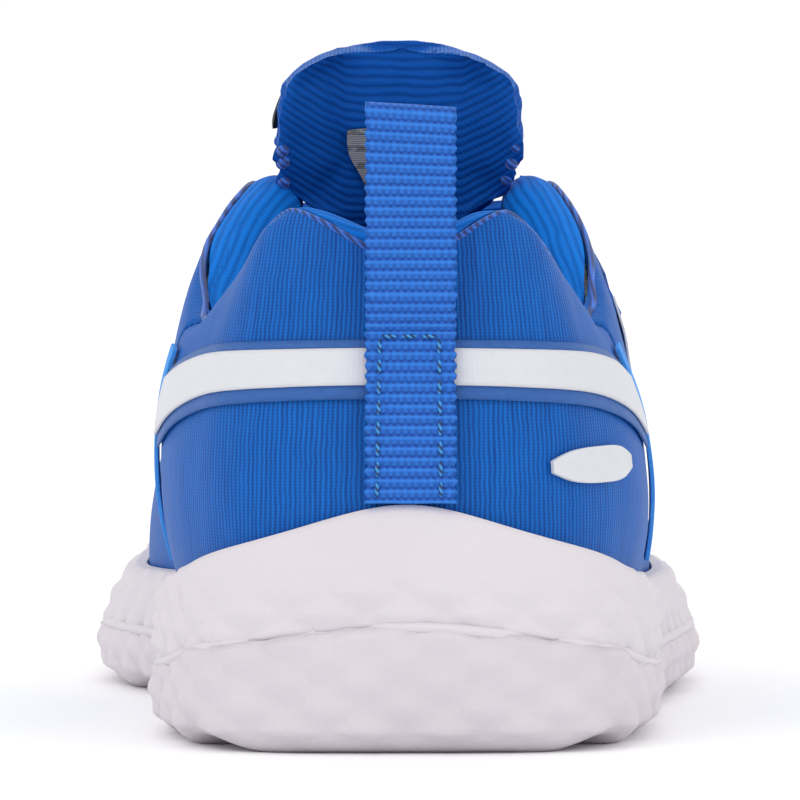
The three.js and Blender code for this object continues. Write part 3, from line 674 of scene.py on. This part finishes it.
chart_cloth(tongue, np.c_[points[:, 0] * 1000, rib_rise])
facing = np.empty(len(tongue.data.polygons) * 3)
tongue.data.polygons.foreach_get("normal", facing)
facing = facing.reshape(-1, 3)
# The tongue's lining side takes the darker rib copy with painted shade.
finish_piece(tongue, None, "knit", [rib_blue_painted_shade, knit_blue], *tongue_nodes)
knit_side = (facing @ np.array([0.0, 0.8, 0.6]) > 0).astype(np.int32)
tongue.data.polygons.foreach_set("material_index", knit_side)
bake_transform(tongue)

# Overlock lumps of thread go round the free edge of the tongue.
thread_blue, tree, shader = new_material("thread_blue", 0.6, Sheen_Weight=0.2)
place = object_place(tree)
twist = node(tree, "ShaderNodeMapping", [
    ("Vector", place), ("Rotation", (0.6, 0.5, 0.7)), ("Scale", (1500, 1500, 1500))])
ply = waves(tree, node(tree, "ShaderNodeSeparateXYZ", [(0, twist.outputs[0])]).outputs[0], 0.9)
paint(tree, shader, mixed(tree, ply, linear(8, 40, 104), linear(34, 104, 206)))
relief(tree, shader, ply, 0.00008)


def stitch(made, start, end, radius):
    """One short length of thread between two points."""
    way = end - start
    turn = way.to_track_quat("Z", "Y").to_matrix().to_4x4()
    size = Matrix.Diagonal((radius, radius, way.length / 2, 1))
    bmesh.ops.create_icosphere(
        made, subdivisions=2, radius=1, matrix=Matrix.Translation((start + end) / 2) @ turn @ size)


lump_step = 0.0019
lump_radius = 0.00075
overlock = bmesh.new()
edge_points = points[points[:, 2] > 0.0585]
for side in (-1, 1):
    for level in np.arange(0.0595, 0.0725, lump_step):
        row = edge_points[np.abs(edge_points[:, 2] - level) < 0.0004]
        tip = Vector(row[np.argmax(row[:, 0] * side)])
        stitch(overlock, tip + Vector((-0.0011 * side, -0.0009, 0.0003)),
               tip + Vector((-0.0007 * side, 0.0010, -0.0003)), lump_radius)
overlock_piece = object_of(overlock, "tongue_overlock")
overlock_piece.data.shade_smooth()
finish_piece(overlock_piece, "tongue_top", "knit", [thread_blue])

# ---------------------------------------------------------------- tongue badge and label
# A soft moulded badge is sewn to the front of the tongue, and a woven label with printed
# lines lies flat on the lining behind it.
badge_black, tree, shader = new_material("badge_black", 0.42, Specular_IOR_Level=0.45)
place = object_place(tree)
paint(tree, shader, mixed(tree, grain(tree, place, 240, 3), linear(13, 14, 17), linear(34, 35, 40)))
relief(tree, shader, grain(tree, place, 1500, 2), 0.00008)
badge = rounded(merged_copy("tongue_badge"), "tongue_badge_moulding", 3, crease=0.7)
points = points_of(badge.data)
points[:, 0] = np.where(points[:, 0] > 0, points[:, 0] * 0.88, points[:, 0])
place_points(badge.data, points)
finish_piece(badge, "tongue_top", "badge", [badge_black], "tongue_badge")

label_grey, tree, shader = new_material("label_grey", 0.6, Sheen_Weight=0.2)
across, up, both = cloth_place(tree)
thread = waves(tree, up, 0.24)
smudge = grain(tree, stretched(tree, both, 0.9, 3.4), 1.0, 2)
printed = calc(tree, "GREATER_THAN", waves(tree, up, 1.9), 0.72)
printed = calc(tree, "MULTIPLY", printed, calc(tree, "GREATER_THAN", smudge, 0.46))
woven = mixed(tree, thread, linear(112, 114, 120), linear(150, 152, 158))
paint(tree, shader, mixed(tree, calc(tree, "MULTIPLY", printed, 0.6), woven, linear(30, 32, 38)))
relief(tree, shader, thread, 0.00005)
label = rounded(merged_copy("tongue_label"), "woven_label", 2)
points = points_of(label.data)
chart_cloth(label, np.c_[points[:, 0], points[:, 2]] * 1000)
finish_piece(label, "tongue_top", "label", [label_grey], "tongue_label")

# ---------------------------------------------------------------- collar seam
# A thin twisted cord of thread lies in the seam where the shell meets the rolled lining.


def topmost(points, stops, reach):
    """The highest point near each stop along the wall, as a smoothed line."""
    run = heel_chart(points)[:, 0]
    line = []
    for stop in stops:
        near = points[np.abs(run - stop) < reach]
        if len(near):
            line.append(near[np.argmax(near[:, 2])])
    line = np.array(line)
    for _ in range(2):
        line[1:-1] = (line[:-2] + 2 * line[1:-1] + line[2:]) / 4
    return line


seam_radius = 0.00036
rim_panels = ("heel_panel", "quarter_lateral", "quarter_medial")
shell_points = np.vstack([points_of(shell_panels[name].data) for name in rim_panels])
seam_line = topmost(shell_points, np.arange(-72, 72.1, 1.5), 1.2)
seam_cord = tube("collar_seam_cord", seam_line, seam_radius)
finish_piece(seam_cord, "shoe", "lining", [thread_blue])

# ---------------------------------------------------------------- heel films
# A dark blue film is heat-pressed round the heel, with a white stripe over its middle. The
# knit shows faintly through both.


def film_material(name, first, second, worn):
    """Matt transfer film with the knit's loops showing through and slightly rubbed."""
    made, tree, shader = new_material(name, 0.5, Specular_IOR_Level=0.4)
    across, up, both = cloth_place(tree)
    loops = calc(tree, "MULTIPLY", waves(tree, across, wale_pitch), waves(tree, up, course_pitch))
    rub = grain(tree, both, 0.9, 4, 0.7)
    paint(tree, shader, mixed(tree, calc(tree, "MULTIPLY", rub, worn), first, second))
    relief(tree, shader, loops, 0.00004, 0.5)
    return made


band_film = film_material("band_film", linear(24, 78, 150), linear(58, 112, 184), 0.7)
white_film = film_material("white_film", linear(216, 217, 222), linear(196, 199, 207), 0.6)
for name, film in (("heel_band_base", band_film), ("heel_band_stripe", white_film)):
    band = rounded(merged_copy(name), "pressed_" + name, 2)
    pucker(band)
    chart_cloth(band, heel_chart(points_of(band.data)))
    finish_piece(band, "shoe", "band_film" if film is band_film else "white_film", [film], name)

# ---------------------------------------------------------------- side stripes
# Two slanted films on each quarter, white behind and dark blue in front.
for side in ("lateral", "medial"):
    for station, film, slot in (("rear", white_film, "white_film"), ("front", band_film, "band_film")):
        name = "side_stripe_" + station + "_" + side
        stripe = rounded(merged_copy(name), "pressed_" + name, 2)
        pucker(stripe)
        chart_cloth(stripe, heel_chart(points_of(stripe.data)))
        finish_piece(stripe, "shoe", slot, [film], name)

# ---------------------------------------------------------------- heel piping
# The front edges of the heel panel are covered with a narrow strip of bright felted tape.
felt_blue, tree, shader = new_material(
    "felt_blue", 0.8, Sheen_Weight=0.25, Sheen_Roughness=0.5, Sheen_Tint=linear(120, 190, 255))
place = object_place(tree)
fibre = grain(tree, place, 2600, 4, 0.75)
cloud = grain(tree, place, 260, 2)
tone = mixed(tree, fibre, linear(18, 118, 214), linear(96, 186, 252))
paint(tree, shader, mixed(tree, calc(tree, "MULTIPLY", cloud, 0.5), tone, linear(22, 118, 222)))
relief(tree, shader, fibre, 0.00014)
for side in ("lateral", "medial"):
    tape = rounded(merged_copy("heel_piping_" + side), "felt_tape_" + side, 3, crease=0.45)
    pucker(tape)
    finish_piece(tape, "shoe", "overlay", [felt_blue], "heel_piping_" + side)

# ---------------------------------------------------------------- raised heel mark
# A plain rounded bar of white rubber is welded to the outer side of the heel panel, and it
# follows the curve of the cloth.
mark = rounded(merged_copy("heel_badge"), "raised_mark", 3, crease=0.9)
pucker(mark)
chart_cloth(mark, heel_chart(points_of(mark.data)))
finish_piece(mark, "shoe", "white_film", [white_film], "heel_badge")

# ---------------------------------------------------------------- eyestays and toe guard
# Thin bonded overlays reinforce the throat and the toe. Their film is smooth and shows the
# knit below as a fine relief.
overlay_blue, tree, shader = new_material("overlay_blue", 0.42, Specular_IOR_Level=0.2)
place = object_place(tree)
cloud = grain(tree, place, 120, 3)
paint(tree, shader, mixed(tree, cloud, linear(4, 84, 176), linear(14, 116, 216)))
relief(tree, shader, grain(tree, place, 2200, 2), 0.00006)
for name in ("eyestay_lateral", "eyestay_medial", "toe_guard"):
    overlay = rounded(merged_copy(name), "bonded_" + name, 3)
    pucker(overlay)
    finish_piece(overlay, "shoe", "overlay", [overlay_blue], name)

# ---------------------------------------------------------------- pull tab
# One length of grosgrain webbing is sewn down the heel, goes up, folds over and comes back
# down inside, so that it makes a flat loop above its box stitch.
tab_low, tab_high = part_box("pull_tab_base")
loop_low, loop_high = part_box("pull_tab_loop")
webbing_thickness = 0.0011
grosgrain_pitch = 1.13
tab_width = tab_high.x - tab_low.x
tab_middle = (tab_high.x + tab_low.x) / 2
tab_foot = 0.02685
base_points = points_of(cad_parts["pull_tab_base"].data)
base_middle = np.polyval(np.polyfit(base_points[:, 2], base_points[:, 1], 2), base_points[:, 2])
outer_face = base_points[base_points[:, 1] < base_middle]


def heel_surface(level):
    """How far back the sewn webbing's outer face is at a height."""
    line = np.polyfit(outer_face[:, 2], outer_face[:, 1], 2)
    return float(np.polyval(line, level))


route = [(heel_surface(z) + webbing_thickness / 2, z) for z in np.linspace(tab_foot, tab_high.z, 10)]
loop_rear = loop_low.y + webbing_thickness / 2
lean = 0.05
for z in np.linspace(0.049, loop_high.z - 0.0022, 8):
    route.append((loop_rear + lean * (z - loop_low.z), z))
fold = 0.0009
crown = (loop_rear + lean * (loop_high.z - loop_low.z) + fold, loop_high.z - webbing_thickness / 2 - fold)
for angle in (150, 120, 90, 60, 30):
    turn = math.radians(angle)
    route.append((crown[0] + fold * math.cos(turn), crown[1] + fold * math.sin(turn)))
for z in np.linspace(loop_high.z - 0.0022, 0.0485, 8):
    route.append((loop_rear + lean * (z - loop_low.z) + 2 * fold, z))
route = np.array(route)
reach = np.r_[0, np.cumsum(np.linalg.norm(np.diff(route, axis=0), axis=1))]
rows = int(reach[-1] / 0.00023)
made = bmesh.new()
bmesh.ops.create_grid(made, x_segments=14, y_segments=rows, size=0.5)
tab = object_of(made, "pull_tab")
flat = points_of(tab.data)
travel = (flat[:, 1] + 0.5) * reach[-1]
bend_y = np.interp(travel, reach, route[:, 0])
bend_z = np.interp(travel, reach, route[:, 1])
chart_cloth(tab, np.c_[flat[:, 0] * tab_width, travel] * 1000)
rib_phase = np.cos(travel * 1000 * 2 * math.pi / grosgrain_pitch)
ragged = np.array([
    noise.noise(Vector((t * 900, 3.0 * np.sign(x), 0.5))) for x, t in zip(flat[:, 0], travel)])
edge_share = smooth_between(np.abs(flat[:, 0]), 0.44, 0.5)
unevenness = 0.00012 * ragged + 0.00008 * rib_phase
across_tab = flat[:, 0] * (tab_width - 0.0002) + np.sign(flat[:, 0]) * edge_share * unevenness
slant = -0.06 * flat[:, 0] * tab_width * smooth_between(bend_z, 0.056, 0.069)
place_points(tab.data, np.c_[tab_middle + across_tab, bend_y, bend_z + slant])
body = tab.modifiers.new("webbing_body", "SOLIDIFY")
body.thickness = webbing_thickness * 0.9
body.offset = 0
baked(tab)
mesh = tab.data
corners = np.empty(len(mesh.loops), np.int32)
mesh.loops.foreach_get("vertex_index", corners)
wrapped = np.empty(len(mesh.loops) * 2, np.float32)
mesh.uv_layers["cloth"].data.foreach_get("uv", wrapped)
travel = np.zeros(len(mesh.vertices))
travel[corners] = wrapped.reshape(-1, 2)[:, 1]
aside = np.zeros(len(mesh.vertices))
aside[corners] = wrapped.reshape(-1, 2)[:, 0]
points = points_of(mesh)
normals = normals_of(mesh)
rib_depth = np.where(points[:, 2] > 0.0455, 0.00005, 0.00009)
rib_height = rib_depth * np.cos(travel * 2 * math.pi / grosgrain_pitch)
rib_height *= 1 + 0.35 * np.cos(aside * 2 * math.pi / 0.8 + math.pi * np.round(travel / grosgrain_pitch))
place_points(mesh, points + normals * rib_height[:, None])
mesh.shade_smooth()

webbing_blue, tree, shader = new_material(
    "webbing_blue", 0.55, Sheen_Weight=0.05, Sheen_Roughness=0.4, Specular_IOR_Level=0.18,
    Sheen_Tint=linear(120, 170, 255))
across, along, both = cloth_place(tree)
broad = waves(tree, along, grosgrain_pitch, math.pi / 2)
# Painted light on the grosgrain: lighter on the rib crests as a painted highlight and darker in the
# valleys as painted shade, in step with the modelled ribs.
narrow = waves(tree, along, grosgrain_pitch / 2)
crest_painted_highlight = calc(tree, "MULTIPLY_ADD", broad, 0.6, calc(tree, "MULTIPLY", narrow, 0.4))
row_shift = calc(tree, "MULTIPLY", calc(tree, "ROUND", calc(tree, "DIVIDE", along, grosgrain_pitch)), 0.4)
warp = waves(tree, calc(tree, "ADD", across, row_shift), 0.8)
# The valleys carry the warp's woven pattern, darkened further as painted shade.
warp_and_valley_shade = calc(tree, "MULTIPLY", calc(tree, "SUBTRACT", 1.0, crest_painted_highlight), warp)
yarn = grain(tree, stretched(tree, both, 3.0, 1.2), 1.0, 3, 0.7)
light = calc(tree, "MULTIPLY_ADD", crest_painted_highlight, 0.5, calc(tree, "MULTIPLY_ADD", yarn, 0.5, 0.0))
held = node(tree, "ShaderNodeClamp", [(0, light)]).outputs[0]
base = mixed(tree, held, linear(8, 56, 150), linear(58, 138, 236))
paint(tree, shader, mixed(tree, calc(tree, "MULTIPLY", warp_and_valley_shade, 0.7), base, linear(10, 36, 112)))
relief(tree, shader, calc(tree, "ADD", warp, yarn), 0.00006)
finish_piece(tab, None, "webbing", [webbing_blue], "pull_tab_base", "pull_tab_loop")
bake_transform(tab)

# The box stitch holds the webbing to the heel: a row across its top and one down each side,
# sewn with a two-coloured thread.
box_thread, tree, shader = new_material("box_thread", 0.5)
place = object_place(tree)
twist = node(tree, "ShaderNodeMapping", [
    ("Vector", place), ("Rotation", (0.6, 0.5, 0.7)), ("Scale", (1700, 1700, 1700))])
ply = waves(tree, node(tree, "ShaderNodeSeparateXYZ", [(0, twist.outputs[0])]).outputs[0], 0.9)
paint(tree, shader, mixed(tree, ply, linear(4, 26, 78), linear(58, 150, 220)))
relief(tree, shader, ply, 0.00008)
stitch_left = tab_middle - 0.0033
stitch_right = tab_middle + 0.0030
stitch_top = 0.0446
stitch_step = 0.0021
stitch_share = 0.8
thread_radius = 0.00024


def sewn_row(made, line):
    """Stitches of one length along a line, with the thread dipping into the cloth between."""
    line = [Vector(p) for p in line]
    for first, last in zip(line[:-1], line[1:]):
        count = max(1, round((last - first).length / stitch_step))
        for k in range(count):
            a = first.lerp(last, (k + (1 - stitch_share) / 2) / count)
            b = first.lerp(last, (k + (1 + stitch_share) / 2) / count)
            stitch(made, a, b, thread_radius)


def on_tab(x, z):
    return (x, heel_surface(z) - 0.00012, z)


box = bmesh.new()
down = np.linspace(stitch_top, tab_foot + 0.0004, 9)
sewn_row(box, [on_tab(stitch_left - 0.0003 * k / 7, z) for k, z in enumerate(down)])
sewn_row(box, [on_tab(stitch_right + 0.0002 * k / 7, z) for k, z in enumerate(down)])
sewn_row(box, [on_tab(stitch_left, stitch_top), on_tab(stitch_right, stitch_top)])
box_piece = object_of(box, "box_stitch")
box_piece.data.shade_smooth()
finish_piece(box_piece, "shoe", "webbing", [box_thread])

# ---------------------------------------------------------------- elastic laces
# Three flat braided elastics cross the tongue and are caught under the eyestays.
elastic_white, tree, shader = new_material("elastic_white", 0.7, Sheen_Weight=0.15)
across, along, both = cloth_place(tree)
one_way = waves(tree, calc(tree, "ADD", across, along), 0.7)
other_way = waves(tree, calc(tree, "SUBTRACT", across, along), 0.7)
braid = calc(tree, "MULTIPLY", one_way, other_way)
yarn = grain(tree, both, 3.0, 2)
light = calc(tree, "MULTIPLY_ADD", braid, 0.6, calc(tree, "MULTIPLY", yarn, 0.4))
paint(tree, shader, mixed(tree, light, linear(196, 198, 206), linear(240, 241, 245)))
relief(tree, shader, braid, 0.00015)
for name in ("elastic_lace_1", "elastic_lace_2", "elastic_lace_3"):
    lace = rounded(merged_copy(name), "braided_" + name, 3, crease=0.8)
    chart_cloth(lace, points_of(lace.data)[:, :2] * 1000)
    finish_piece(lace, "shoe", "elastic", [elastic_white], name)

# ---------------------------------------------------------------- strap
# A padded knit strap is sewn to the inner side, crosses the throat and closes on the outer
# side with hooks under its end.
made = merged_copy("strap_anchor", "strap")
strap_spots = {tuple(round(c, 6) for c in v.co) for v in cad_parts["strap"].data.vertices}
strap_side = [v for v in made.verts if tuple(round(c, 6) for c in v.co) in strap_spots]
known = set(strap_side)
anchor_side = [v for v in made.verts if v not in known]
weld_reach = 0.0013
joined = set()
for vertex in anchor_side:
    nearest = min(strap_side, key=lambda other: (other.co - vertex.co).length)
    if (nearest.co - vertex.co).length < weld_reach:
        vertex.co = nearest.co
        joined.add(nearest)
bmesh.ops.remove_doubles(made, verts=made.verts, dist=2e-6)
seam = [vertex.co.copy() for vertex in joined if vertex.is_valid]
inside = [
    face for face in made.faces
    if all(any((vertex.co - spot).length < 3e-6 for spot in seam) for vertex in face.verts)]
bmesh.ops.delete(made, geom=inside, context="FACES_ONLY")
strap = rounded(made, "strap_band", 3, crease=0.7)
points = points_of(strap.data)
chart_cloth(strap, np.c_[points[:, 1], points[:, 0] + points[:, 2] * 0.5] * 1000)
finish_piece(strap, None, "knit", [knit_blue], "strap_anchor", "strap")
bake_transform(strap)

hook_tape, tree, shader = new_material("hook_tape", 0.6)
place = object_place(tree)
hooks = node(tree, "ShaderNodeTexVoronoi", [("Vector", place), ("Scale", 1800)]).outputs["Distance"]
paint(tree, shader, mixed(tree, hooks, linear(52, 96, 170), linear(16, 42, 96)))
relief(tree, shader, hooks, 0.0004)
patch = rounded(merged_copy("strap_hook_patch"), "hook_patch", 2)
finish_piece(patch, "strap", "hook_and_loop", [hook_tape], "strap_hook_patch")

loop_tape, tree, shader = new_material("loop_tape", 0.9, Sheen_Weight=0.4, Sheen_Roughness=0.6)
nap = grain(tree, object_place(tree), 3200, 5, 0.8)
paint(tree, shader, mixed(tree, nap, linear(14, 52, 124), linear(44, 104, 188)))
relief(tree, shader, nap, 0.0003)
patch = rounded(merged_copy("strap_loop_patch"), "loop_patch", 2)
finish_piece(patch, "shoe", "hook_and_loop", [loop_tape], "strap_loop_patch")
